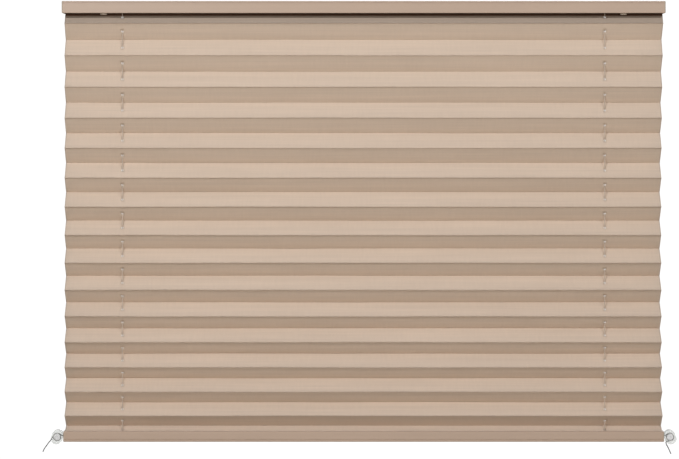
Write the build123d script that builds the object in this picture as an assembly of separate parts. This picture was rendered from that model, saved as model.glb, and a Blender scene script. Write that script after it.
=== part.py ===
from build123d import *
import math
import os

os.makedirs("parts", exist_ok=True)

# Pleated blind: a fixed headrail, a pleated fabric and a bottom rail that slides on two
# tension cords. Origin at the middle of the headrail's top face, +X along the rails,
# +Z up, and the room side faces -Y. Lengths are in millimetres.

# Overall sizes, and how far the bottom rail and the fabric stop short of the headrail's ends
blind_width = 600.0
blind_height = 438.0
bottom_rail_setback = 1.5
fabric_setback = 3.0

# Both rails are cut from one kind of channel: a closed face, two walls and two lips
rail_depth = 20.0
headrail_height = 12.0
bottom_rail_height = 10.5
rail_wall = 1.2
lip_width = 4.2
rail_edge_radius = 1.0
lip_edge_radius = 0.5
groove_height = 0.8
groove_depth = 0.5
groove_from_closed_face = 1.7

# End caps
headrail_cap_plate = 1.5
bottom_cap_plate = 1.2
cap_plug_length = 5.0
cap_edge_radius = 0.9

# Fabric: one sheet folded into leaves, glued at both ends to a flat strip
leaf_length = 20.0
leaf_count = 29
leaf_drop_step = 0.16
first_fold_drop = 21.9
last_fold_rise = 14.2
fabric_thickness = 0.3
leaf_hole_clearance = 0.4
strip_thickness = 1.0
strip_inset = 3.0

# Cords
cord_diameter = 0.9
cord_inset = 59.5
cord_pass_offset = 2.3
cord_bend_radius = 3.0
cord_return_radius = 60.0
cord_passage_clearance = 0.35

# Small parts
guide_length = 14.0
eyelet_flange_radius = 2.0
eyelet_flange_height = 0.5
eyelet_wall = 0.7
bush_inset = 41.0
bush_offset = 2.0
bush_collar_radius = 3.4
bush_collar_height = 2.4
bush_barrel_radius = 2.8
mounting_hole_radius = 2.1
anchor_length = 12.0
spring_length = 60.0
spring_wire = 0.5
spring_radius = 2.0
spring_pitch = 2.4
spigot_length = 3.0
clip_radius = 2.6
clip_length = 8.0
clip_bore_depth = 4.0

# Tension shoes: clear two-lobed spools, each held to the window frame by one screw
shoe_gap = 7.0
shoe_rise = 3.9
shoe_lobe_radius = 5.6
shoe_lobe_offset = 1.5
shoe_lobe_shift = 0.6
shoe_waist_radius = 3.2
shoe_waist_play = 0.15
shoe_back_thickness = 3.0
shoe_front_thickness = 2.0
screw_shank_radius = 1.5
screw_head_radius = 2.8
screw_reach = 6.0

# Clearances
fit_clearance = 0.1
loose_clearance = 0.2
soft_clearance = 0.05

# Places that follow from the sizes
half_depth = rail_depth / 2
chamber_half = half_depth - rail_wall
mouth_half = half_depth - lip_width
cord_radius = cord_diameter / 2
passage_radius = cord_radius + cord_passage_clearance
cord_x = blind_width / 2 - cord_inset
bush_x = blind_width / 2 - bush_inset
headrail_lip_top = -headrail_height + rail_wall
bottom_rail_top = -blind_height + bottom_rail_height
bottom_lip_underside = bottom_rail_top - rail_wall
top_strip_top = headrail_lip_top + strip_thickness
bottom_strip_bottom = bottom_lip_underside - strip_thickness
head_cord_z = (top_strip_top - rail_wall) / 2
rail_cord_z = bottom_strip_bottom - cord_bend_radius - 0.8
bottom_floor = -blind_height + rail_wall
rail_end_x = blind_width / 2 - bottom_rail_setback
shoe_x = rail_end_x + shoe_gap
shoe_z = -blind_height + shoe_rise
strip_half_width = chamber_half - loose_clearance


def box_between(low, high):
    """Box from its lowest corner to its highest corner."""
    size = [b - a for a, b in zip(low, high)]
    centre = [(a + b) / 2 for a, b in zip(low, high)]
    return Pos(*centre) * Box(*size)


def upright(radius, x, y, bottom, top):
    """Vertical cylinder between two heights."""
    return Pos(x, y, (bottom + top) / 2) * Cylinder(radius, top - bottom)


def along_x(radius, start, end, y, z):
    """Cylinder along X between two places."""
    return Pos((start + end) / 2, y, z) * Rot(0, 90, 0) * Cylinder(radius, abs(end - start))


def along_y(radius, x, start, end, z):
    """Cylinder along Y between two places."""
    return Pos(x, (start + end) / 2, z) * Rot(90, 0, 0) * Cylinder(radius, abs(end - start))


def tube(points, bends, radius):
    """Round tube along straight runs joined by tangent arcs."""
    path = FilletPolyline(*points, radius=bends)
    profile = Plane(origin=path @ 0, z_dir=path % 0) * Circle(radius)
    return sweep(profile, path=path)


def half_turn(shape):
    """The same piece turned half a turn about the vertical middle line."""
    return Rot(0, 0, 180) * shape


def save_pair(name, right_piece, left_piece):
    """One file for the left piece and one for the right."""
    export_step(right_piece, f"parts/{name}_right.step")
    export_step(left_piece, f"parts/{name}_left.step")


# Rails


def rail_outline(height):
    """Channel section in Y and Z: closed face at Z = 0 and mouth at Z = -height."""
    lip_top = -height + rail_wall
    back_half = [
        (half_depth, 0),
        (half_depth, -height),
        (mouth_half, -height),
        (mouth_half, lip_top),
        (chamber_half, lip_top),
        (chamber_half, -rail_wall),
    ]
    front_half = [(-y, z) for y, z in reversed(back_half)]
    outline = Polygon(*back_half, *front_half, align=None)
    corners = outline.vertices().filter_by(lambda v: abs(v.X) > half_depth - 0.01)
    outline = fillet(corners.filter_by(lambda v: v.Y > -0.01), rail_edge_radius)
    lip_corners = outline.vertices().filter_by(
        lambda v: abs(v.X) > half_depth - 0.01 and v.Y < -height + 0.01
    )
    outline = fillet(lip_corners, lip_edge_radius)
    groove_place = Pos(-half_depth + groove_depth / 2, -groove_from_closed_face - groove_height / 2)
    return outline - groove_place * Rectangle(groove_depth, groove_height)


def rail_bar(height, length):
    """Length of channel with its closed face up at Z = 0."""
    return extrude(Plane.YZ * rail_outline(height), amount=length / 2, both=True)


def cap_for(height, plate, start):
    """Right end cap for a channel whose closed face is up at Z = 0."""
    outline = Pos(0, -height / 2) * RectangleRounded(rail_depth, height, rail_edge_radius)
    cap = Pos(start, 0, 0) * extrude(Plane.YZ * outline, amount=plate)
    outer_edges = cap.faces().sort_by(Axis.X)[-1].edges()
    cap = fillet(outer_edges, cap_edge_radius)
    plug_top = -rail_wall - fit_clearance
    plug_bottom = -height + rail_wall + strip_thickness + loose_clearance
    plug_half = chamber_half - fit_clearance
    plug = box_between((start - cap_plug_length, -plug_half, plug_bottom), (start, plug_half, plug_top))
    return cap + plug


def turn_over(shape):
    """Headrail-way-up piece turned over for the bottom rail."""
    return Pos(0, 0, -blind_height) * mirror(shape, about=Plane.XY)


headrail_bar_half = blind_width / 2 - headrail_cap_plate
headrail = rail_bar(headrail_height, 2 * headrail_bar_half)
for side in (-1, 1):
    hole = upright(mounting_hole_radius, side * bush_x, -bush_offset, -2 * rail_wall, rail_wall)
    headrail = headrail - hole
export_step(headrail, "parts/headrail.step")

headrail_cap = cap_for(headrail_height, headrail_cap_plate, headrail_bar_half)
save_pair("headrail_end_cap", headrail_cap, mirror(headrail_cap, about=Plane.YZ))

bottom_bar_half = rail_end_x - bottom_cap_plate
bottom_rail = turn_over(rail_bar(bottom_rail_height, 2 * bottom_bar_half))
export_step(bottom_rail, "parts/bottom_rail.step")

bottom_cap = turn_over(cap_for(bottom_rail_height, bottom_cap_plate, bottom_bar_half))
cap_hole_start = bottom_bar_half - cap_plug_length - 1
bottom_cap = bottom_cap - along_x(passage_radius, cap_hole_start, rail_end_x + 1, 0, rail_cord_z)
save_pair("bottom_rail_end_cap", bottom_cap, mirror(bottom_cap, about=Plane.YZ))


# Fabric and its two strips


def ribbon(points, thickness):
    """Closed outline of a folded strip that follows points, with mitred folds."""
    one_side = []
    other_side = []
    for index, point in enumerate(points):
        before = points[max(index - 1, 0)]
        after = points[min(index + 1, len(points) - 1)]
        normals = []
        for start, end in ((before, point), (point, after)):
            length = math.dist(start, end)
            if length > 0:
                normals.append(((start[1] - end[1]) / length, (end[0] - start[0]) / length))
        across = [sum(values) for values in zip(*normals)]
        reach = thickness / 2 * len(normals) / (across[0] ** 2 + across[1] ** 2)
        one_side.append((point[0] + across[0] * reach, point[1] + across[1] * reach))
        other_side.append((point[0] - across[0] * reach, point[1] - across[1] * reach))
    return Polygon(*one_side, *reversed(other_side), align=None)


def fold_points():
    """Folds of the fabric from the first front fold to the last back fold."""
    fabric_run = blind_height - first_fold_drop - last_fold_rise
    first_drop = fabric_run / leaf_count + leaf_drop_step * (leaf_count - 1) / 2
    height = -first_fold_drop
    points = []
    for leaf in range(leaf_count + 1):
        drop = first_drop - leaf_drop_step * leaf
        half_leaf_depth = math.sqrt(leaf_length**2 - drop**2) / 2
        points.append((half_leaf_depth * (-1) ** (leaf + 1), height))
        height = height - drop
    return points


def leaf_hole_size(drop):
    """Length along the leaf and width of a hole that clears an upright cord in a leaf of that drop."""
    steepness = math.asin(drop / leaf_length)
    crossing = cord_diameter / math.cos(steepness) + fabric_thickness * math.tan(steepness)
    return crossing + 2 * leaf_hole_clearance, cord_diameter + 2 * leaf_hole_clearance


def cord_crossing(start, end):
    """Where a leaf crosses the plane of the cords."""
    share = start[0] / (start[0] - end[0])
    return (0.0, start[1] + share * (end[1] - start[1]))


def leaf_cutter(x, start, end):
    """Cutter for the punched oval in one leaf. All leaves are punched alike, to suit the steepest."""
    along = Vector(0, end[0] - start[0], end[1] - start[1]).normalized()
    centre = cord_crossing(start, end)
    face = Plane(origin=(x, centre[0], centre[1]), x_dir=along, z_dir=along.cross(Vector(1, 0, 0)))
    return extrude(face * SlotOverall(*leaf_hole), amount=1.0, both=True)


band_half = mouth_half - 4 * fabric_thickness
top_band_z = headrail_lip_top - fabric_thickness / 2
bottom_band_z = bottom_lip_underside + soft_clearance + fabric_thickness / 2
folds = fold_points()
leaf_hole = leaf_hole_size(folds[0][1] - folds[1][1])
top_band = [(-band_half, top_band_z), (band_half, top_band_z)]
bottom_band = [(-band_half, bottom_band_z), (band_half, bottom_band_z)]
fabric_line = top_band + folds + bottom_band
fabric_outline = ribbon(fabric_line, fabric_thickness)
fabric = extrude(Plane.YZ * fabric_outline, amount=blind_width / 2 - fabric_setback, both=True)

leaf_ends = [top_band[1]] + folds + [bottom_band[0]]
eyelet_barrel_radius = passage_radius + eyelet_wall
cutters = []
for side in (-1, 1):
    for start, end in zip(leaf_ends[:-1], leaf_ends[1:]):
        cutters.append(leaf_cutter(side * cord_x, start, end))
    for band_z in (top_band_z, bottom_band_z):
        eyelet_hole = eyelet_barrel_radius + fit_clearance
        low, high = band_z - fabric_thickness, band_z + fabric_thickness
        cutters.append(upright(eyelet_hole, side * cord_x, 0, low, high))
    bush_hole = bush_barrel_radius + fit_clearance
    low, high = top_band_z - fabric_thickness, top_band_z + fabric_thickness
    cutters.append(upright(bush_hole, side * bush_x, -bush_offset, low, high))
fabric = fabric - cutters
export_step(fabric, "parts/pleated_fabric.step")


def strip_between(bottom, bar_half):
    """Flat strip that slides into a rail, with a hole for each eyelet."""
    half_length = bar_half - strip_inset
    strip = box_between(
        (-half_length, -strip_half_width, bottom),
        (half_length, strip_half_width, bottom + strip_thickness),
    )
    for side in (-1, 1):
        hole_radius = eyelet_barrel_radius + fit_clearance
        strip = strip - upright(hole_radius, side * cord_x, 0, bottom - 1, bottom + 2)
    return strip


top_strip = strip_between(headrail_lip_top, headrail_bar_half)
for side in (-1, 1):
    hole_radius = bush_barrel_radius + fit_clearance
    top_strip = top_strip - upright(
        hole_radius, side * bush_x, -bush_offset, headrail_lip_top - 1, top_strip_top + 1
    )
export_step(top_strip, "parts/fabric_top_strip.step")
export_step(strip_between(bottom_strip_bottom, bottom_bar_half), "parts/fabric_bottom_strip.step")


# Eyelets, guides and bushes


def eyelet(band_face, flange_end, barrel_end):
    """Right-hand eyelet: its flange lies on the fabric band, its barrel fills the strip's hole."""
    low, high = min(band_face, flange_end), max(band_face, flange_end)
    flange = upright(eyelet_flange_radius, cord_x, 0, low, high)
    low, high = min(band_face, barrel_end), max(band_face, barrel_end)
    barrel = upright(eyelet_barrel_radius, cord_x, 0, low, high)
    low, high = min(flange_end, barrel_end) - 1, max(flange_end, barrel_end) + 1
    return flange + barrel - upright(passage_radius, cord_x, 0, low, high)


top_band_face = headrail_lip_top - fabric_thickness
top_eyelet = eyelet(top_band_face, top_band_face - eyelet_flange_height, top_strip_top)
save_pair("headrail_eyelet", top_eyelet, half_turn(top_eyelet))

bottom_band_face = bottom_lip_underside + 2 * soft_clearance + fabric_thickness
bottom_eyelet = eyelet(bottom_band_face, bottom_band_face + eyelet_flange_height, bottom_strip_bottom)
save_pair("bottom_rail_eyelet", bottom_eyelet, half_turn(bottom_eyelet))


def guide_block(bottom, top):
    """Block that fills the rail's chamber at the right-hand cord."""
    block_half = chamber_half - fit_clearance
    return box_between(
        (cord_x - guide_length / 2, -block_half, bottom), (cord_x + guide_length / 2, block_half, top)
    )


inner_face = cord_x - guide_length / 2
head_passage = [
    (inner_face - 1, 0, head_cord_z),
    (cord_x, 0, head_cord_z),
    (cord_x, 0, top_strip_top - 1),
]
head_guide = guide_block(top_strip_top, -rail_wall) - tube(head_passage, [cord_bend_radius], passage_radius)
save_pair("headrail_cord_guide", head_guide, half_turn(head_guide))

rail_passage = [
    (inner_face - 1, 0, rail_cord_z),
    (cord_x, 0, rail_cord_z),
    (cord_x, 0, bottom_strip_bottom + 1),
]
rail_guide = guide_block(bottom_floor, bottom_strip_bottom)
rail_guide = rail_guide - tube(rail_passage, [cord_bend_radius], passage_radius)
rail_guide = rail_guide - along_x(
    passage_radius, inner_face - 1, cord_x + guide_length / 2 + 1, -cord_pass_offset, rail_cord_z
)
save_pair("bottom_rail_cord_guide", rail_guide, half_turn(rail_guide))

collar_bottom = top_band_face - bush_collar_height
collar = upright(bush_collar_radius, bush_x, -bush_offset, collar_bottom, top_band_face)
collar = fillet(collar.faces().sort_by(Axis.Z)[0].edges(), bush_collar_height / 4)
bush = collar + upright(bush_barrel_radius, bush_x, -bush_offset, top_band_face, -rail_wall)
bush = bush - upright(mounting_hole_radius, bush_x, -bush_offset, collar_bottom - 1, 0)
save_pair("screw_bush", bush, mirror(bush, about=Plane.YZ))


# Springs with their anchor and clips

spigot_radius = spring_radius - spring_wire / 2 - fit_clearance
spring_start = anchor_length / 2
clip_face = spring_start + spring_length + 2 * fit_clearance
anchor_half = chamber_half - fit_clearance
anchor = box_between((-spring_start, -anchor_half, top_strip_top), (spring_start, anchor_half, -rail_wall))
spigot_end = spring_start + spigot_length
anchor = anchor + along_x(spigot_radius, -spigot_end, spigot_end, 0, head_cord_z)
export_step(anchor, "parts/spring_anchor.step")

coil_start = spring_start + spring_wire / 2 + fit_clearance
coil_length = spring_length - spring_wire
coil = Helix(spring_pitch, coil_length, spring_radius)
coil_profile = Plane(origin=coil @ 0, z_dir=coil % 0) * Circle(spring_wire / 2)
spring = sweep(coil_profile, path=coil, is_frenet=True)
spring = Pos(coil_start, 0, head_cord_z) * Rot(0, 90, 0) * spring
save_pair("tension_spring", spring, half_turn(spring))

clip_end = clip_face + clip_length
clip = along_x(clip_radius, clip_face, clip_end, 0, head_cord_z)
clip = clip + along_x(spigot_radius, clip_face - spigot_length, clip_face, 0, head_cord_z)
cord_start = clip_end - clip_bore_depth
clip = clip - along_x(cord_radius + soft_clearance, cord_start, clip_end, 0, head_cord_z)
save_pair("cord_clip", clip, half_turn(clip))


# Tension shoes and their screws


def lobes(x, thickness_start, thickness_end, side):
    """Two-lobed plate of a shoe between two depths."""
    upper = (x - side * shoe_lobe_shift, shoe_z + shoe_lobe_offset)
    lower = (x + side * shoe_lobe_shift, shoe_z - shoe_lobe_offset)
    plate = along_y(shoe_lobe_radius, upper[0], thickness_start, thickness_end, upper[1])
    return plate + along_y(shoe_lobe_radius, lower[0], thickness_start, thickness_end, lower[1])


winding_half = cord_diameter + soft_clearance
waist_half = winding_half + shoe_waist_play
shoe_front = -waist_half - shoe_front_thickness
shoe_back = waist_half + shoe_back_thickness
head_depth = screw_head_radius - screw_shank_radius


def shoe(side):
    """Spool that holds the cord's end, with a countersunk screw hole."""
    x = side * shoe_x
    body = lobes(x, shoe_front, -waist_half, side) + lobes(x, waist_half, shoe_back, side)
    body = body + along_y(shoe_waist_radius, x, -waist_half, waist_half, shoe_z)
    hole_radius = screw_shank_radius + fit_clearance
    body = body - along_y(hole_radius, x, shoe_front - 1, shoe_back + 1, shoe_z)
    seat = Cone(screw_head_radius + fit_clearance, hole_radius, head_depth)
    return body - Pos(x, shoe_front + head_depth / 2, shoe_z) * Rot(-90, 0, 0) * seat


def shoe_screw(side):
    """Countersunk screw through a shoe, with a cross recess."""
    x = side * shoe_x
    head = Cone(screw_head_radius, screw_shank_radius, head_depth)
    screw = Pos(x, shoe_front + head_depth / 2, shoe_z) * Rot(-90, 0, 0) * head
    screw = screw + along_y(screw_shank_radius, x, shoe_front + head_depth, shoe_back + screw_reach, shoe_z)
    arm = screw_head_radius * 1.2
    for width, height in ((arm, head_depth / 2), (head_depth / 2, arm)):
        screw = screw - Pos(x, shoe_front, shoe_z) * Box(width, head_depth, height)
    return screw


save_pair("tension_shoe", shoe(1), shoe(-1))
save_pair("shoe_screw", shoe_screw(1), shoe_screw(-1))


# Cords. Each cord hangs from one spring, drops through the leaves, crosses inside the bottom
# rail and leaves at the other end, so that the rail stays level.

winding_inner = shoe_waist_radius + soft_clearance
winding_outer = winding_inner + cord_diameter
lead_from = (rail_end_x, rail_cord_z)
lead_angle = math.atan2(shoe_z - rail_cord_z, shoe_gap)
lead_length = math.dist(lead_from, (shoe_x, shoe_z))
middle_radius = (winding_inner + winding_outer) / 2
tangent_angle = lead_angle + math.asin(middle_radius / lead_length)
lead_clear = winding_outer + cord_radius + fit_clearance
lead_reach = math.sqrt(lead_length**2 - middle_radius**2) - math.sqrt(lead_clear**2 - middle_radius**2)
lead_end = (
    rail_end_x + lead_reach * math.cos(tangent_angle),
    0,
    rail_cord_z + lead_reach * math.sin(tangent_angle),
)
left_cord_route = [
    (-cord_start, 0, head_cord_z),
    (-cord_x, 0, head_cord_z),
    (-cord_x, 0, rail_cord_z),
    (cord_x, -cord_pass_offset, rail_cord_z),
    (rail_end_x, 0, rail_cord_z),
    lead_end,
]
left_cord_bends = [cord_bend_radius, cord_bend_radius, cord_return_radius, cord_bend_radius]
left_cord = tube(left_cord_route, left_cord_bends, cord_radius)
save_pair("tension_cord", half_turn(left_cord), left_cord)

for name, side in (("left", -1), ("right", 1)):
    ring = along_y(winding_outer, side * shoe_x, -winding_half, winding_half, shoe_z)
    ring = ring - along_y(winding_inner, side * shoe_x, -winding_half - 1, winding_half + 1, shoe_z)
    export_step(ring, f"parts/cord_winding_{name}.step")

# Free tails of the cords, given from the middle of each shoe
left_tail_route = [(-4.8, 0.2), (-6.4, -2.4), (-10.6, -7.6), (-14.4, -13.9)]
right_tail_route = [(-4.6, -1.6), (-4.9, -6.0), (-3.3, -11.0), (-0.4, -17.0)]
for name, side, route in (("left", -1, left_tail_route), ("right", 1, right_tail_route)):
    points = [(side * shoe_x + x, 0, shoe_z + z) for x, z in route]
    bends = []
    for before, corner, after in zip(points, points[1:], points[2:]):
        run_in = Vector(*corner) - Vector(*before)
        run_out = Vector(*after) - Vector(*corner)
        half_bend = math.radians(run_in.get_angle(run_out)) / 2
        bends.append(0.45 * min(run_in.length, run_out.length) / math.tan(half_bend))
    print(name, "tail bend radii", [round(bend, 1) for bend in bends])
    export_step(tube(points, bends, cord_radius), f"parts/cord_tail_{name}.step")
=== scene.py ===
import math

import bpy
import numpy as np
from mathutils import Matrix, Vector


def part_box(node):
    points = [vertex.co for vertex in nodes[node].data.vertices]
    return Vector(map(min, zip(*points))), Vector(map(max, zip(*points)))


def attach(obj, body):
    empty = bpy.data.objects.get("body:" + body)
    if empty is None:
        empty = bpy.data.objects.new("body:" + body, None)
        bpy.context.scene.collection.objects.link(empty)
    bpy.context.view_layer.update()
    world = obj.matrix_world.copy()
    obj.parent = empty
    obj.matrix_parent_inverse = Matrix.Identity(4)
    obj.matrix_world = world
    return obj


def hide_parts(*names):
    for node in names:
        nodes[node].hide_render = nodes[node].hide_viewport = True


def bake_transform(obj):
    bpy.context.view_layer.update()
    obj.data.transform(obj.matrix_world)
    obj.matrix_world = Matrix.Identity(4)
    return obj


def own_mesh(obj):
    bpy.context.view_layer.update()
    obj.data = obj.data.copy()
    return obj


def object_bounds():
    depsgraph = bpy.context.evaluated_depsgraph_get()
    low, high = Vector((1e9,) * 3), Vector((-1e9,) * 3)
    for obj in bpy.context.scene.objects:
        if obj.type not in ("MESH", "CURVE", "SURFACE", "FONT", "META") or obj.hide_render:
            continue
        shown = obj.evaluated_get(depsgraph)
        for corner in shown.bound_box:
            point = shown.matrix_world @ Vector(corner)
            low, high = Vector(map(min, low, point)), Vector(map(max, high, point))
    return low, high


# Pleated blind around its CAD frame. Everything is in metres, in the frame of the CAD part:
# origin at the middle of the headrail's top face, +X along the rails, +Z up, room side -Y.

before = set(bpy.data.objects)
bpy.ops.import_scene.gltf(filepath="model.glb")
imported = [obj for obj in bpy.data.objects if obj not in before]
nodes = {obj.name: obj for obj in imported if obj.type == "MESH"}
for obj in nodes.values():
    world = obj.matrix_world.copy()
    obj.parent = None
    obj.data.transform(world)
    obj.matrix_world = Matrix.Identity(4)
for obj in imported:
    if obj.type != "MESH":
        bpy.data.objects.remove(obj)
cad_low, cad_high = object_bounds()

SIDES = (("left", -1), ("right", 1))

# Fabric, as it was cut and folded
LEAF_LENGTH = 0.020
LEAF_COUNT = 29
LEAF_DROP_STEP = 0.00016
FIRST_FOLD_DROP = 0.0219
LAST_FOLD_RISE = 0.0142
FABRIC_THICKNESS = 0.0003
BAND_HALF = 0.0046
TOP_BAND_Z = -0.01095
BOTTOM_BAND_Z = -0.4285
LEAF_HOLE = (0.0017, 0.0027)
BAND_HOLE = (0.0032, 0.0032)

# Cords
CORD_DIAMETER = 0.0009
CORD_X = 0.2405
CORD_START_X = 0.0702
HEAD_CORD_Z = -0.0055
RAIL_CORD_Z = -0.4335
CORD_PASS_OFFSET = 0.0023
WINDING_RADIUS = 0.0037
WINDING_OFFSET = 0.000475


def smoothstep(value):
    """0 below 0, 1 above 1, and smooth between."""
    value = np.clip(value, 0.0, 1.0)
    return value * value * (3 - 2 * value)


def add_object(name, mesh):
    piece = bpy.data.objects.new(name, mesh)
    bpy.context.scene.collection.objects.link(piece)
    return piece


# Materials: colours are linear, and places along the sheet or a cord are in metres

RAIL_COLOUR = (0.50, 0.373, 0.29)
CAP_COLOUR = (0.48, 0.385, 0.3)
STRIP_COLOUR = (0.36, 0.27, 0.21)
INNER_COLOUR = (0.68, 0.66, 0.6)
EYELET_COLOUR = (0.62, 0.54, 0.46)
STEEL_COLOUR = (0.72, 0.72, 0.73)
BRASS_COLOUR = (0.62, 0.45, 0.2)
CLEAR_COLOUR = (0.93, 0.94, 0.93)

FABRIC_COLOUR = (0.72, 0.59, 0.485)
THREAD_PITCH = 0.00045
# Painted shadow: a near-black colour over the sheet's top, up to this place along it in metres,
# where it comes out under the headrail
RECESS_SHADOW_COLOUR = (0.26, 0.13, 0.075)
RECESS_SHADOW_END = 0.0141
# Painted shade: the first leaf is darkened by this factor, up to this place along the sheet, for
# the headrail's shadow on it
HEADRAIL_SHADOW_SHADE = 0.66
HEADRAIL_SHADOW_END = 0.0244
EDGE_BLUR = 0.0003

# A braid's dark strands, its light strands, and how far the dark ones cover it
PALE_CORD = ((0.6, 0.5, 0.42), (0.78, 0.68, 0.6), 0.0)
GREY_CORD = ((0.018, 0.017, 0.016), (0.2, 0.19, 0.18), 0.35)
BRAID_STRANDS = 4
BRAID_PITCH = 0.0022
# Painted light: how many times paler the dark strands are over the turns inside the clear shoe, and
# where that stretch fades in and out, in metres
PAINTED_LIGHT_PALENESS = 18.0
PAINTED_LIGHT_EDGE = (-0.001, 0.003)


def new_material(name, roughness, **constants):
    """Material, its node tree and its shader, with the constants set on the shader itself."""
    material = bpy.data.materials.new(name)
    material.use_nodes = True
    tree = material.node_tree
    shader = tree.nodes["Principled BSDF"]
    shader.inputs["Roughness"].default_value = roughness
    for key, value in constants.items():
        shader.inputs[key.replace("_", " ")].default_value = value
    return material, tree, shader


def node(tree, kind, inputs=None, **settings):
    """Node whose inputs are numbers, or links where a socket is given."""
    made = tree.nodes.new("ShaderNode" + kind)
    for key, value in settings.items():
        setattr(made, key, value)
    for key, value in (inputs or {}).items():
        if isinstance(value, bpy.types.NodeSocket):
            tree.links.new(value, made.inputs[key])
        else:
            made.inputs[key].default_value = value
    return made


def maths(tree, operation, first, second=0.0):
    return node(tree, "Math", {0: first, 1: second}, operation=operation).outputs[0]


def place(tree, scale, use_uv=False):
    """Position on the object, or on the cut sheet, stretched by scale."""
    source = node(tree, "TexCoord").outputs["UV" if use_uv else "Object"]
    return node(tree, "Mapping", {"Vector": source, "Scale": scale}).outputs["Vector"]


def noise(tree, scale, detail=3.0, use_uv=False, rough=0.55):
    """Noise from 0 to 1, with its own scale along each axis, in cells a metre."""
    at = place(tree, scale, use_uv)
    return node(
        tree, "TexNoise", {"Vector": at, "Scale": 1.0, "Detail": detail, "Roughness": rough}
    ).outputs["Fac"]


def ramp(tree, value, start, end, low, high, **settings):
    """Low up to start, high from end on, and straight between unless settings say otherwise."""
    inputs = {"Value": value, "From Min": start, "From Max": end, "To Min": low, "To Max": high}
    return node(tree, "MapRange", inputs, **settings).outputs["Result"]


def spread(tree, value, low, high):
    """Value from 0.3 to 0.7 stretched over low to high."""
    return ramp(tree, value, 0.3, 0.7, low, high)


def tint(tree, base, amount):
    """Base colour times a factor."""
    grey = node(tree, "CombineColor", {"Red": amount, "Green": amount, "Blue": amount}).outputs[0]
    mix = node(tree, "Mix", data_type="RGBA", blend_type="MULTIPLY")
    mix.inputs[0].default_value = 1.0
    mix.inputs[6].default_value = (*base, 1.0)
    tree.links.new(grey, mix.inputs[7])
    return mix.outputs[2]


def bump(tree, shader, height, depth, strength=1.0, below=None):
    """Relief of that depth in metres, on top of another relief if one is given."""
    inputs = {"Height": height, "Distance": depth, "Strength": strength}
    if below is not None:
        inputs["Normal"] = below
    normal = node(tree, "Bump", inputs).outputs["Normal"]
    tree.links.new(normal, shader.inputs["Normal"])
    return normal


def rail_paint():
    """Satin powder coat: orange peel, fine specks, and faint draw lines along the bar."""
    material, tree, shader = new_material("rail_paint", 0.42, Coat_Weight=0.12, Coat_Roughness=0.3)
    patches = spread(tree, noise(tree, (6, 40, 40)), 0.965, 1.03)
    lines = spread(tree, noise(tree, (1.5, 2600, 2600), 2), 0.985, 1.015)
    specks = spread(tree, noise(tree, (2400, 2400, 2400), 1), 0.985, 1.015)
    amount = maths(tree, "MULTIPLY", maths(tree, "MULTIPLY", patches, lines), specks)
    tree.links.new(tint(tree, RAIL_COLOUR, amount), shader.inputs["Base Color"])
    peel = noise(tree, (900, 900, 900), 2)
    tree.links.new(spread(tree, peel, 0.36, 0.48), shader.inputs["Roughness"])
    below = bump(tree, shader, peel, 0.00003)
    bump(tree, shader, lines, 0.00004, below=below)
    return material


def moulded(name, colour, roughness, grain_depth=0.00003):
    """Moulded plastic with a spark-eroded grain and slight flow marks."""
    material, tree, shader = new_material(name, roughness)
    flow = spread(tree, noise(tree, (90, 60, 140), 2), 0.97, 1.03)
    grain = noise(tree, (1600, 1600, 1600), 3)
    amount = maths(tree, "MULTIPLY", flow, spread(tree, grain, 0.97, 1.03))
    tree.links.new(tint(tree, colour, amount), shader.inputs["Base Color"])
    rough = spread(tree, grain, roughness - 0.06, roughness + 0.06)
    tree.links.new(rough, shader.inputs["Roughness"])
    bump(tree, shader, grain, grain_depth)
    return material


def turned_metal(name, colour, roughness, streaks):
    """Bright metal with fine tool or plating marks."""
    material, tree, shader = new_material(name, roughness, Metallic=1.0)
    marks = noise(tree, streaks, 3)
    cloud = noise(tree, (320, 320, 320), 3)
    streaked = spread(tree, marks, 0.9, 1.06)
    amount = maths(tree, "MULTIPLY", streaked, spread(tree, cloud, 0.92, 1.05))
    tree.links.new(tint(tree, colour, amount), shader.inputs["Base Color"])
    rough = spread(tree, marks, roughness - 0.1, roughness + 0.12)
    tree.links.new(rough, shader.inputs["Roughness"])
    bump(tree, shader, marks, 0.00002)
    return material


def clear_plastic():
    """Clear moulded plastic with flow marks inside and a faintly rippled face."""
    material, tree, shader = new_material(
        "clear_plastic", 0.08, Transmission_Weight=0.9, IOR=1.47, Specular_IOR_Level=0.6
    )
    swirl = noise(tree, (260, 260, 260), 3)
    amount = spread(tree, swirl, 0.9, 1.0)
    tree.links.new(tint(tree, CLEAR_COLOUR, amount), shader.inputs["Base Color"])
    rough = spread(tree, noise(tree, (900, 900, 900), 2), 0.04, 0.16)
    tree.links.new(rough, shader.inputs["Roughness"])
    bump(tree, shader, swirl, 0.0002)
    return material


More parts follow.
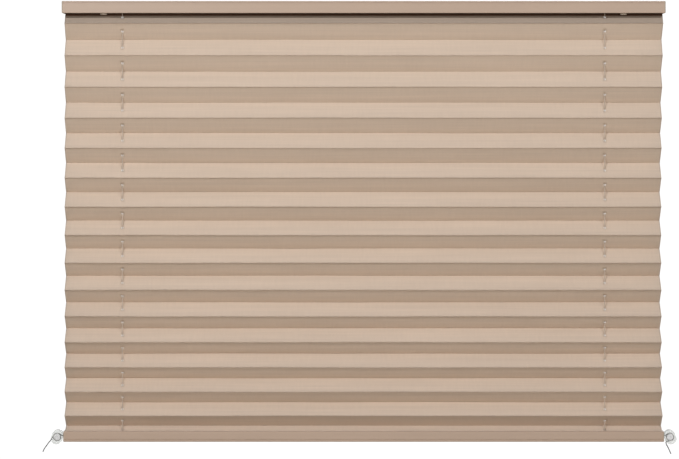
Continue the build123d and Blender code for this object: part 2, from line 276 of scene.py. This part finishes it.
def cloth():
    """Fine plain weave with slubs along the weft, painted shade over its first leaf for the
    headrail's shadow, and a near-black painted shadow at its top where it comes out under the
    headrail.
    """
    material, tree, shader = new_material(
        "blind_fabric", 0.85, Sheen_Weight=0.25, Sheen_Roughness=0.5, Specular_IOR_Level=0.25
    )
    at = node(tree, "SeparateXYZ", {"Vector": node(tree, "TexCoord").outputs["UV"]}).outputs
    warp = maths(tree, "SINE", maths(tree, "MULTIPLY", at["X"], 2 * math.pi / THREAD_PITCH))
    weft = maths(tree, "SINE", maths(tree, "MULTIPLY", at["Y"], 2 * math.pi / THREAD_PITCH))
    weave = maths(tree, "MULTIPLY", warp, weft)
    slubs = noise(tree, (14, 900, 1), 3, use_uv=True)
    streaks = noise(tree, (3.5, 210, 1), 3, use_uv=True)
    threads = noise(tree, (500, 60, 1), 2, use_uv=True)
    patches = noise(tree, (9, 30, 1), 2, use_uv=True)
    # Painted shadow: near-black up to where the sheet comes out under the headrail
    recess_shadow = ramp(tree, at["Y"], RECESS_SHADOW_END - EDGE_BLUR, RECESS_SHADOW_END + EDGE_BLUR, 1.0, 0.0)
    # Painted shade: the first leaf darker, for the headrail's shadow on it
    headrail_shadow = ramp(tree, at["Y"], HEADRAIL_SHADOW_END - EDGE_BLUR, HEADRAIL_SHADOW_END + EDGE_BLUR, HEADRAIL_SHADOW_SHADE, 1.0)
    amount = spread(tree, streaks, 0.965, 1.035)
    amount = maths(tree, "MULTIPLY", amount, headrail_shadow)
    amount = maths(tree, "MULTIPLY", amount, spread(tree, slubs, 0.97, 1.03))
    amount = maths(tree, "MULTIPLY", amount, spread(tree, threads, 0.985, 1.015))
    amount = maths(tree, "MULTIPLY", amount, spread(tree, patches, 0.985, 1.015))
    amount = maths(tree, "ADD", amount, maths(tree, "MULTIPLY", weave, 0.02))
    # The painted shadow's colour takes the place of the fabric's at the sheet's top
    mix = node(tree, "Mix", {0: recess_shadow}, data_type="RGBA")
    tree.links.new(tint(tree, FABRIC_COLOUR, amount), mix.inputs[6])
    tree.links.new(tint(tree, RECESS_SHADOW_COLOUR, amount), mix.inputs[7])
    tree.links.new(mix.outputs[2], shader.inputs["Base Color"])
    tree.links.new(spread(tree, slubs, 0.78, 0.92), shader.inputs["Roughness"])
    below = bump(tree, shader, weave, 0.00004)
    bump(tree, shader, slubs, 0.00006, below=below)
    return material


def braid(name, dark, light, share, painted_light_length=0.0, painted_light_paleness=1.0):
    """Round braid of crossing strands, along a tube whose UV is turns and metres. Over a given
    length from its start the dark strands are painted paler: painted light on the turns inside the
    clear shoe."""
    material, tree, shader = new_material(name, 0.7, Sheen_Weight=0.2, Specular_IOR_Level=0.3)
    at = node(tree, "SeparateXYZ", {"Vector": node(tree, "TexCoord").outputs["UV"]}).outputs
    around = maths(tree, "MULTIPLY", at["X"], 2 * math.pi * BRAID_STRANDS)
    along = maths(tree, "MULTIPLY", at["Y"], 2 * math.pi / BRAID_PITCH)
    one = maths(tree, "SINE", maths(tree, "ADD", around, along))
    other = maths(tree, "SINE", maths(tree, "SUBTRACT", around, along))
    strands = maths(tree, "MULTIPLY", one, other)
    fleck = ramp(tree, strands, share, 1.0, 0.0, 1.0)
    fibre = spread(tree, noise(tree, (2500, 2500, 2500), 2), 0.85, 1.12)
    painted_light_start, painted_light_end = (painted_light_length + shift for shift in PAINTED_LIGHT_EDGE)
    # Painted light: dark strands paler over the given length from the start
    painted_light = ramp(tree, at["Y"], painted_light_start, painted_light_end, painted_light_paleness, 1.0)
    mix = node(tree, "Mix", data_type="RGBA")
    tree.links.new(fleck, mix.inputs[0])
    tree.links.new(tint(tree, dark, maths(tree, "MULTIPLY", fibre, painted_light)), mix.inputs[6])
    tree.links.new(tint(tree, light, fibre), mix.inputs[7])
    tree.links.new(mix.outputs[2], shader.inputs["Base Color"])
    tree.links.new(spread(tree, fibre, 0.6, 0.8), shader.inputs["Roughness"])
    bump(tree, shader, strands, 0.00008)
    return material


finishes = {
    "rail_paint": rail_paint(),
    "cap_plastic": moulded("cap_plastic", CAP_COLOUR, 0.5),
    "strip_plastic": moulded("strip_plastic", STRIP_COLOUR, 0.55),
    "fabric": cloth(),
    "inner_plastic": moulded("inner_plastic", INNER_COLOUR, 0.45),
    "eyelet_plastic": moulded("eyelet_plastic", EYELET_COLOUR, 0.4, grain_depth=0.00002),
    "steel": turned_metal("zinc_steel", STEEL_COLOUR, 0.32, (1800, 500, 1800)),
    "brass": turned_metal("brass", BRASS_COLOUR, 0.28, (2600, 300, 300)),
    "cord": braid("pale_cord", *PALE_CORD),
    "clear_plastic": clear_plastic(),
}
lead_cord = braid("lead_cord", *GREY_CORD)

for part in nodes.values():
    for part_slot in part.material_slots:
        part_slot.material = finishes[part_slot.material.name.split(".")[0]]


# Camera: square to the blind, level with its upper third, at the distance the pleats show

VIEW_WIDTH = 0.6743
VIEW_CENTRE = (-0.024, -0.227)
CAMERA_HEIGHT = -0.138
CAMERA_DISTANCE = 2.4
SENSOR_WIDTH = 0.036

camera_data = bpy.data.cameras.new("camera")
camera_data.sensor_width = SENSOR_WIDTH * 1000
camera_data.lens = SENSOR_WIDTH * 1000 * CAMERA_DISTANCE / VIEW_WIDTH
camera_data.shift_y = (VIEW_CENTRE[1] - CAMERA_HEIGHT) / VIEW_WIDTH
camera = bpy.data.objects.new("camera", camera_data)
camera.location = (VIEW_CENTRE[0], cad_low.y - CAMERA_DISTANCE, CAMERA_HEIGHT)
camera.rotation_euler = (math.radians(90), 0, 0)
bpy.context.scene.collection.objects.link(camera)
bpy.context.scene.camera = camera


# Cords


def smooth_line(points, samples):
    """Points along the order-3 NURBS spline that has those control points."""
    curve = bpy.data.curves.new("line", "CURVE")
    curve.dimensions = "3D"
    curve.resolution_u = samples
    spline = curve.splines.new("NURBS")
    spline.points.add(len(points) - 1)
    for target, point in zip(spline.points, points):
        target.co = (*point, 1.0)
    spline.order_u = 3
    spline.use_endpoint_u = True
    holder = bpy.data.objects.new("line", curve)
    mesh = bpy.data.meshes.new_from_object(holder)
    line = np.array([vertex.co for vertex in mesh.vertices], float)
    bpy.data.objects.remove(holder)
    bpy.data.meshes.remove(mesh)
    bpy.data.curves.remove(curve)
    return line


def tube_mesh(name, line, ring_of, sides):
    """Closed tube with a ring of vertices at each point of a line. UV is turns and metres."""
    vertices, faces, face_uvs = [], [], []
    along = np.concatenate([[0], np.cumsum(np.linalg.norm(np.diff(line, axis=0), axis=1))])
    for index in range(len(line)):
        across, up = ring_of(index)
        for k in range(sides):
            angle = 2 * math.pi * k / sides
            vertices.append(line[index] + across * math.cos(angle) + up * math.sin(angle))
    for index in range(len(line) - 1):
        for k in range(sides):
            after = (k + 1) % sides
            low, high = index * sides, (index + 1) * sides
            faces.append((low + k, low + after, high + after, high + k))
            u0, u1 = k / sides, (k + 1) / sides
            v0, v1 = along[index], along[index + 1]
            face_uvs += [(u0, v0), (u1, v0), (u1, v1), (u0, v1)]
    last = (len(line) - 1) * sides
    faces.append(tuple(reversed(range(sides))))
    faces.append(tuple(range(last, last + sides)))
    face_uvs += [(0.0, 0.0)] * sides + [(0.0, along[-1])] * sides
    mesh = bpy.data.meshes.new(name)
    mesh.from_pydata([tuple(v) for v in vertices], [], faces)
    layer = mesh.uv_layers.new(name="cord")
    layer.data.foreach_set("uv", np.array(face_uvs, np.float32).ravel())
    mesh.polygons.foreach_set("use_smooth", [True] * (len(faces) - 2) + [False] * 2)
    mesh.update()
    return mesh


def round_rings(line, radius):
    """Rings square to the line, carried along it without twist."""
    tangents = np.gradient(line, axis=0)
    tangents /= np.linalg.norm(tangents, axis=1)[:, None]
    across = np.cross(tangents[0], (0.3, 1.0, 0.1))
    frames = []
    for tangent in tangents:
        across = across - tangent * (across @ tangent)
        across /= np.linalg.norm(across)
        frames.append((across * radius, np.cross(tangent, across) * radius))
    return lambda index: frames[index]


# Long cords, up to a seam just inside the bottom rail's end, where the lead takes over

RUN_TO_BEND = 6 * CORD_DIAMETER
GUIDE_HALF = 0.0075
EXIT_RUN = 0.008
SEAM_INSET = 0.0007
LONG_CORD_SAMPLES = 14
LONG_CORD_SIDES = 10

rail_end_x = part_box("bottom_rail_end_cap_right")[1].x
cord_seam_x = rail_end_x - SEAM_INSET


def tension_cord_route(side):
    """From the clip out to the edge, down through the leaves, and across and out of the rail."""
    near, far = side * CORD_X, -side * CORD_X
    pass_y = side * CORD_PASS_OFFSET
    inward = -side
    return [
        (side * CORD_START_X, 0, HEAD_CORD_Z),
        (near + inward * RUN_TO_BEND, 0, HEAD_CORD_Z),
        (near, 0, HEAD_CORD_Z),
        (near, 0, HEAD_CORD_Z - RUN_TO_BEND),
        (near, 0, RAIL_CORD_Z + RUN_TO_BEND),
        (near, 0, RAIL_CORD_Z),
        (near + inward * RUN_TO_BEND, 0, RAIL_CORD_Z),
        (far + side * GUIDE_HALF, pass_y, RAIL_CORD_Z),
        (far, pass_y, RAIL_CORD_Z),
        (far + inward * GUIDE_HALF, pass_y, RAIL_CORD_Z),
        (-side * (rail_end_x - EXIT_RUN), 0, RAIL_CORD_Z),
        (-side * cord_seam_x, 0, RAIL_CORD_Z),
    ]


for side_name, side in SIDES:
    name = f"tension_cord_{side_name}_braid"
    line = smooth_line(tension_cord_route(side), LONG_CORD_SAMPLES)
    mesh = tube_mesh(name, line, round_rings(line, CORD_DIAMETER / 2), LONG_CORD_SIDES)
    mesh.materials.append(finishes["cord"])
    piece = add_object(name, mesh)
    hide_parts(f"tension_cord_{side_name}")
    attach(piece, "headrail")
    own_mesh(piece)


# Ends of the cords: a short lead from the rail to the shoe, turns round its waist, and a free tail.
# Angles are from outward. A tail's places are outward and upward from the shoe's middle, in mm.

LEAD_ANGLE = math.radians(116.8)
LEAD_REACH = 0.0006
LEAD_SAMPLES = 16
END_SAMPLES = 6
END_SIDES = 12
WINDING_TURN = {"left": math.radians(445), "right": math.radians(557)}
POINTS_A_TURN = 16
SPLINE_CUT = 0.75
TAIL_ROUTE = {
    "left": [(4.5, -0.6), (6.3, -3.3), (8.7, -5.9), (10.7, -8.9), (12.9, -11.7), (14.2, -14.9)],
    "right": [
        (-1.9, -4.2),
        (-4.1, -4.9),
        (-3.7, -7.3),
        (-2.4, -9.6),
        (-1.1, -12.2),
        (0.1, -15.0),
        (1.0, -17.0),
    ],
}
TAIL_LEAN = {"left": -0.0012, "right": -0.0008}
LEAD_BLEND_TILT = math.radians(31.6)


def shoe_middle(side_name):
    low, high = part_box(f"cord_winding_{side_name}")
    return (low + high) / 2


def winding_route(side_name, side):
    """Control points of the turns, a little outside the line because the spline cuts inside them.
    The cord lies in front where it starts, and moves behind before it comes round to its start."""
    middle = shoe_middle(side_name)
    turn = WINDING_TURN[side_name]
    overlap = turn - 2 * math.pi
    steps = round(POINTS_A_TURN * turn / (2 * math.pi))
    radius = WINDING_RADIUS / math.cos(math.pi / POINTS_A_TURN) ** SPLINE_CUT
    points = []
    for step in range(steps + 1):
        turned = turn * step / steps
        angle = LEAD_ANGLE - turned
        share = float(smoothstep((turned - overlap) / (2 * math.pi - overlap)))
        points.append(
            (
                middle.x + side * radius * math.cos(angle),
                -WINDING_OFFSET + 2 * WINDING_OFFSET * share,
                middle.z + radius * math.sin(angle),
            )
        )
    return points


def tail_route(side_name, side):
    middle = shoe_middle(side_name)
    route = TAIL_ROUTE[side_name]
    points = []
    for index, (out, up) in enumerate(route):
        lean = TAIL_LEAN[side_name] * (index + 1) / len(route)
        points.append((middle.x + side * out / 1000, WINDING_OFFSET + lean, middle.z + up / 1000))
    return points


def lead_rings(line, side):
    """Rings cut so that the lead stays round when the rail lifts it into an upright line."""
    tangents = np.gradient(line, axis=0)
    tangents /= np.linalg.norm(tangents, axis=1)[:, None]
    in_plane = np.array((side * math.cos(LEAD_BLEND_TILT), 0.0, -math.sin(LEAD_BLEND_TILT)))
    frames = []
    for tangent in tangents:
        normal = np.array((-side * tangent[2], 0.0, side * tangent[0]))
        reach = CORD_DIAMETER / 2 / abs(in_plane @ normal)
        frames.append((in_plane * reach, np.array((0.0, CORD_DIAMETER / 2, 0.0))))
    return lambda index: frames[index]


for side_name, side in SIDES:
    turns = winding_route(side_name, side)
    line = smooth_line(turns + tail_route(side_name, side), END_SAMPLES)
    name = f"cord_end_{side_name}"
    mesh = tube_mesh(name, line, round_rings(line, CORD_DIAMETER / 2), END_SIDES)
    wound_length = WINDING_TURN[side_name] * WINDING_RADIUS
    # The wound turns get painted light: their dark strands are painted paler
    finish = braid(f"grey_cord_{side_name}", *GREY_CORD, wound_length, PAINTED_LIGHT_PALENESS)
    mesh.materials.append(finish)
    cord_end = add_object(name, mesh)
    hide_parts(f"cord_winding_{side_name}", f"cord_tail_{side_name}")
    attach(cord_end, "headrail")

    start = Vector(turns[0])
    leaving = Vector((side * (rail_end_x + LEAD_REACH), 0, RAIL_CORD_Z))
    seam = (side * cord_seam_x, 0, RAIL_CORD_Z)
    route = [seam, tuple(leaving), tuple(start.lerp(leaving, 0.25)), tuple(start)]
    lead_line = smooth_line(route, LEAD_SAMPLES)
    lead_name = f"cord_lead_{side_name}"
    mesh = tube_mesh(lead_name, lead_line, lead_rings(lead_line, side), END_SIDES)
    mesh.materials.append(lead_cord)
    lead = add_object(lead_name, mesh)
    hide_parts(f"tension_cord_{side_name}")
    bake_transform(lead)


# Fabric: one sheet laid out flat by places across and along it, then folded


def leaf_ends():
    """Corners of the folded sheet in Y and Z, from one glued band to the other."""
    low_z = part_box("bottom_rail")[0].z
    run = -low_z - FIRST_FOLD_DROP - LAST_FOLD_RISE
    first_drop = run / LEAF_COUNT + LEAF_DROP_STEP * (LEAF_COUNT - 1) / 2
    corners = [(-BAND_HALF, TOP_BAND_Z), (BAND_HALF, TOP_BAND_Z)]
    height = -FIRST_FOLD_DROP
    for leaf in range(LEAF_COUNT + 1):
        drop = first_drop - LEAF_DROP_STEP * leaf
        half_depth = math.sqrt(LEAF_LENGTH**2 - drop**2) / 2
        corners.append((half_depth * (-1) ** (leaf + 1), height))
        height -= drop
    return corners + [(-BAND_HALF, BOTTOM_BAND_Z), (BAND_HALF, BOTTOM_BAND_Z)]


CREASE_ANGLE = {"front": math.radians(42), "back": math.radians(16)}
CREASE_REACH = {"front": 0.0010, "back": 0.0022}
MOST_FLATTENED = 0.85
LEAF_STEPS = 400

# Rows of the mesh along the sheet, in mm: from the start of a band, and from a crease
BAND_ROWS = (0, 1.6, 3.1, 4.6, 6.1, 7.6)
CREASE_ROWS = (0, 0.35, 0.8, 1.4, 2.2, 3.6)
CREASE_ROOM = 0.0042
HOLE_HALF_BLOCK = 0.004

# Columns across the sheet, in mm: from its cut edge, and from the middle of the cord's holes
EDGE_COLUMNS = (0, 1.5, 5, 11, 19, 28, 37, 45, 50.5)
HOLE_COLUMNS = (3, 2, 1, 0, -1, -2, -3)
COLUMN_BLOCK = 0.003
MIDDLE_COLUMNS = 20
MIDDLE_START = 0.009

# How far each cut edge stands out from the cut, in mm, as a curve over the drop from 0 to 1
RIGHT_EDGE = (1.6, -9.3, 8.2)
LEFT_EDGE = (0.7, -0.9, 0.6)
EDGE_REACH = 0.05

# Slight waves of the hung sheet: share, radians a metre across and along, and phase
SWAY = 0.00016
SWAY_WAVES = ((1, 19, 11, 0), (0.6, 43, -27, 1.3))
LIFT = 0.00009
LIFT_WAVES = ((1, 13, 57, 0.4), (0.7, 31, -83, 2.1), (0.35, 88, 170, 0))
STILL_LENGTH = 0.012
WAVE_EASE = 0.03


def crease_bend(distance, length, ends):
    """How much flatter than its chord a leaf lies, at a distance from its upper end."""
    upper = CREASE_ANGLE[ends[0]] * np.exp(-distance / CREASE_REACH[ends[0]])
    lower = CREASE_ANGLE[ends[1]] * np.exp(-(length - distance) / CREASE_REACH[ends[1]])
    return upper + lower


def bent_leaf(upper, lower, ends, places):
    """Y and Z along a leaf that is creased at both ends and springs straight between them."""
    upper, lower = np.array(upper), np.array(lower)
    chord = lower - upper
    length = np.linalg.norm(chord)
    slope = math.atan2(-chord[1], abs(chord[0]))
    fine = np.linspace(0, length, LEAF_STEPS)
    flatter = np.minimum(crease_bend(fine, length, ends), MOST_FLATTENED * slope)
    angle = slope - flatter + flatter.mean()
    step = np.stack([np.cos(angle) * np.sign(chord[0]), -np.sin(angle)], axis=1)
    path = np.concatenate([[(0.0, 0.0)], np.cumsum((step[:-1] + step[1:]) / 2, axis=0)])
    path *= length / (len(fine) - 1)
    miss = (chord - path[-1]) * (fine / length)[:, None]
    path = upper + path + miss
    return np.stack([np.interp(places, fine, path[:, k]) for k in range(2)], axis=1)


def sheet_profile():
    """Rows of the sheet as place along it, Y and Z; the first row of each run; and the first row,
    the middle and the shape of each hole."""
    corners = leaf_ends()
    crease_rows = np.array(CREASE_ROWS) / 1000
    rows, folds, holes = [], [], []
    start = 0.0
    for index, (upper, lower) in enumerate(zip(corners[:-1], corners[1:])):
        length = math.dist(upper, lower)
        band = index in (0, len(corners) - 2)
        if band:
            places = np.array(BAND_ROWS) / 1000
            first_row, centre, shape = 1, length / 2, BAND_HOLE
            run = np.array(lower) - np.array(upper)
            points = np.array([np.array(upper) + run * p / length for p in places])
        else:
            centre = length * upper[0] / (upper[0] - lower[0])
            shape, first_row = LEAF_HOLE, len(CREASE_ROWS)
            above, below = centre - HOLE_HALF_BLOCK, length - centre - HOLE_HALF_BLOCK
            rises = crease_rows * min(1.0, above / CREASE_ROOM)
            block = np.linspace(centre - HOLE_HALF_BLOCK, centre + HOLE_HALF_BLOCK, 5)
            falls = length - crease_rows[:0:-1] * min(1.0, below / CREASE_ROOM)
            places = np.concatenate([rises, block, falls])
            ends = ("front", "back") if upper[0] < lower[0] else ("back", "front")
            points = bent_leaf(upper, lower, ends, places)
        folds.append(len(rows))
        holes.append((len(rows) + first_row, start + centre, shape))
        rows += [(start + p, *point) for p, point in zip(places, points)]
        start += length
    rows.append((start, *corners[-1]))
    return np.array(rows), folds, holes


def outline_reach(across, along, shape):
    """Distance from a slot's middle to its edge, in the direction given by two shares."""
    radius = shape[0] / 2
    straight = (shape[1] - shape[0]) / 2
    if abs(along) * radius <= straight * abs(across):
        return radius / abs(across)
    lift = straight * abs(along)
    return lift + math.sqrt(lift**2 - straight**2 + radius**2)


def sheet_columns(half_width):
    """Places across the sheet, closer together at the edges and round the cord holes."""
    outer = [half_width - inset / 1000 for inset in EDGE_COLUMNS]
    block = [CORD_X + offset / 1000 for offset in HOLE_COLUMNS]
    inner = list(np.linspace(0, CORD_X - MIDDLE_START, MIDDLE_COLUMNS))[::-1]
    right = outer + block + inner
    return np.array([-x for x in right[:-1]] + right[::-1])


def edge_shift(x, z):
    """The cut edges aren't quite straight: the right one draws in at half height."""
    share = np.clip(z / BOTTOM_BAND_Z, 0, 1)
    right, left = (
        (edge[0] + edge[1] * share + edge[2] * share**2) / 1000 for edge in (RIGHT_EDGE, LEFT_EDGE)
    )
    reach = smoothstep((np.abs(x) - CORD_X - COLUMN_BLOCK) / EDGE_REACH)
    return np.where(x > 0, right, -left) * reach


def waves(x, along, table):
    """Sum of the waves in a table, at places across and along the sheet."""
    total = 0.0
    for share, across, down, phase in table:
        total = total + share * np.sin(across * x + down * along + phase)
    return total


def folded(flat, rows):
    """Places of flat points in space, with the slight waves of a hung sheet."""
    x, along = flat[:, 0], flat[:, 1]
    y = np.interp(along, rows[:, 0], rows[:, 1])
    z = np.interp(along, rows[:, 0], rows[:, 2])
    total = rows[-1, 0]
    from_top, from_bottom = along - STILL_LENGTH, total - STILL_LENGTH - along
    free = smoothstep(from_top / WAVE_EASE) * smoothstep(from_bottom / WAVE_EASE)
    y = y + free * waves(x, along, SWAY_WAVES) * SWAY
    z = z + free * waves(x, along, LIFT_WAVES) * LIFT
    return np.stack([x + edge_shift(x, z), y, z], axis=1)


def fabric_mesh():
    """Mesh of the folded sheet with its holes, and the sheet's flat width and length."""
    rows, folds, holes = sheet_profile()
    half_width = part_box("pleated_fabric")[1].x
    columns = sheet_columns(half_width)
    count = len(columns)
    flat = [(x, row[0]) for row in rows for x in columns]
    starts = [int(np.argmin(np.abs(columns - side * CORD_X))) - 3 for side in (-1, 1)]
    skipped, rings = set(), []
    for first_row, centre, shape in holes:
        for column in starts:
            skipped |= {(first_row + r, column + c) for r in range(4) for c in range(6)}
            edge = [(first_row, column + c) for c in range(6)]
            edge += [(first_row + r, column + 6) for r in range(4)]
            edge += [(first_row + 4, column + c) for c in range(6, 0, -1)]
            edge += [(first_row + r, column) for r in range(4, 0, -1)]
            outer = [r * count + c for r, c in edge]
            inner = []
            middle_x = columns[column + 3]
            for r, c in edge:
                across, along = columns[c] - middle_x, rows[r][0] - centre
                size = math.hypot(across, along)
                across, along = across / size, along / size
                reach = outline_reach(across, along, shape)
                inner.append(len(flat))
                flat.append((middle_x + across * reach, centre + along * reach))
            rings.append((outer, inner))
    faces = []
    for r in range(len(rows) - 1):
        for c in range(count - 1):
            if (r, c) not in skipped:
                low, high = r * count + c, (r + 1) * count + c
                faces.append((low, low + 1, high + 1, high))
    for outer, inner in rings:
        for k in range(len(outer)):
            after = (k + 1) % len(outer)
            faces.append((outer[k], outer[after], inner[after], inner[k]))
    flat = np.array(flat)
    mesh = bpy.data.meshes.new("fabric_sheet")
    mesh.from_pydata([tuple(p) for p in folded(flat, rows)], [], faces)
    layer = mesh.uv_layers.new(name="sheet")
    corner_points = np.concatenate([flat[list(face)] for face in faces])
    layer.data.foreach_set("uv", corner_points.astype(np.float32).ravel())
    mesh.polygons.foreach_set("use_smooth", [True] * len(faces))
    fold_rows = {round(rows[index][0], 7) for index in folds[1:]}
    for edge in mesh.edges:
        a, b = (round(flat[v][1], 7) for v in edge.vertices)
        edge.use_edge_sharp = a == b and a in fold_rows
    mesh.update()
    return mesh, 2 * half_width, rows[-1, 0]


def applied(piece):
    """Mesh of a piece with its modifiers applied."""
    evaluated = piece.evaluated_get(bpy.context.evaluated_depsgraph_get())
    return bpy.data.meshes.new_from_object(evaluated)


fabric_data, flat_width, flat_length = fabric_mesh()
fabric = add_object("pleated_sheet", fabric_data)
thick = fabric.modifiers.new("thickness", "SOLIDIFY")
thick.thickness = FABRIC_THICKNESS
thick.offset = 0.0
thick.use_even_offset = True
fabric_data = applied(fabric)
fabric.modifiers.clear()
fabric.data = fabric_data
fabric.data.materials.append(finishes["fabric"])
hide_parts("pleated_fabric")
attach(fabric, "headrail")
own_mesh(fabric)


# Studio: a pale floor well below, a warm surround that lights from below and is seen as white, and
# soft lights left and right of the camera, above, and behind for the views from the back

FLOOR_Z = -0.95
FLOOR_RADIUS = 1.5
FLOOR_FADE = 0.2
FLOOR_SIDES = 96
FLOOR_COLOUR = (0.7, 0.7, 0.7)
FLOOR_GLOW = 0.15
SURROUND = {"below": 0.25, "above": 0.0, "seen": 1.05}
SURROUND_RISE = (-0.3, 0.5)
BELOW_COLOUR = (1.0, 0.78, 0.48, 1.0)
SHINE_SHARE = 0.6
LIGHT_TARGET = (0, 0, -0.25)

# Where each light is, its width and height, and its power in watts
KEY_LIGHTS = {
    "left_low": ((-0.55, -1.55, 0.08), (0.02, 0.12), 3.2),
    "left_high": ((-0.68, -2.1, 1.0), (0.03, 0.2), 18.8),
    "right_low": ((1.3, -3.0, 0.25), (0.04, 0.24), 10.5),
    "right_high": ((2.0, -4.3, 2.1), (0.06, 0.4), 61.0),
    "above": ((0, -1.0, 1.5), (1.2, 1.2), 4.0),
    "behind": ((0.6, 2.4, 1.2), (1.0, 1.0), 20.0),
}


def studio_floor():
    """Round pale floor that fades into the surround at its rim."""
    mesh = bpy.data.meshes.new("studio_floor")
    turns = [2 * math.pi * k / FLOOR_SIDES for k in range(FLOOR_SIDES)]
    rim = [(FLOOR_RADIUS * math.cos(t), FLOOR_RADIUS * math.sin(t), FLOOR_Z) for t in turns]
    mesh.from_pydata(rim, [], [tuple(range(FLOOR_SIDES))])
    material, tree, shader = new_material("studio_floor", 0.9, Emission_Strength=FLOOR_GLOW)
    shader.inputs["Emission Color"].default_value = (1, 1, 1, 1)
    shade = spread(tree, noise(tree, (3, 3, 3)), 0.99, 1.01)
    tree.links.new(tint(tree, FLOOR_COLOUR, shade), shader.inputs["Base Color"])
    at = node(tree, "TexCoord").outputs["Object"]
    flat = node(tree, "VectorMath", {0: at, 1: (1, 1, 0)}, operation="MULTIPLY").outputs["Vector"]
    away = node(tree, "VectorMath", {0: flat}, operation="LENGTH").outputs["Value"]
    fade = ramp(tree, away, FLOOR_FADE, FLOOR_RADIUS, 1.0, 0.0, interpolation_type="SMOOTHSTEP")
    tree.links.new(fade, shader.inputs["Alpha"])
    mesh.materials.append(material)
    add_object("studio_floor", mesh)


def soft_light(name, location, target, size, watts):
    """Area light aimed at a point."""
    data = bpy.data.lights.new(name, "AREA")
    data.shape = "RECTANGLE"
    data.size, data.size_y = size
    data.energy = watts
    light = bpy.data.objects.new(name, data)
    light.location = location
    light.rotation_euler = (Vector(target) - Vector(location)).to_track_quat("-Z", "Y").to_euler()
    bpy.context.scene.collection.objects.link(light)


def surround(below, above, seen):
    """Light from all round, brighter below. The camera, and what is seen through clear plastic,
    get plain white, and gloss gets a share of it."""
    world = bpy.data.worlds.new("surround")
    world.use_nodes = True
    tree = world.node_tree
    background = tree.nodes["Background"]
    direction = node(tree, "TexCoord").outputs["Generated"]
    up = node(tree, "SeparateXYZ", {"Vector": direction}).outputs["Z"]
    level = ramp(tree, up, *SURROUND_RISE, below, above)
    background.inputs["Color"].default_value = BELOW_COLOUR
    tree.links.new(level, background.inputs["Strength"])
    white = node(tree, "Background", {"Color": (1, 1, 1, 1), "Strength": seen})
    path = node(tree, "LightPath").outputs
    is_seen = maths(tree, "MAXIMUM", path["Is Camera Ray"], path["Is Transmission Ray"])
    shine = maths(tree, "MULTIPLY", path["Is Glossy Ray"], SHINE_SHARE)
    is_seen = maths(tree, "MAXIMUM", is_seen, shine)
    mix = node(tree, "MixShader", {0: is_seen})
    tree.links.new(background.outputs[0], mix.inputs[1])
    tree.links.new(white.outputs[0], mix.inputs[2])
    tree.links.new(mix.outputs[0], tree.nodes["World Output"].inputs["Surface"])
    bpy.context.scene.world = world


studio_floor()
surround(**SURROUND)
for light_name, (at, size, watts) in KEY_LIGHTS.items():
    soft_light(f"{light_name}_light", at, LIGHT_TARGET, size, watts)
bpy.context.scene.view_settings.view_transform = "Standard"


# Bring the scene up to date

bpy.context.view_layer.update()
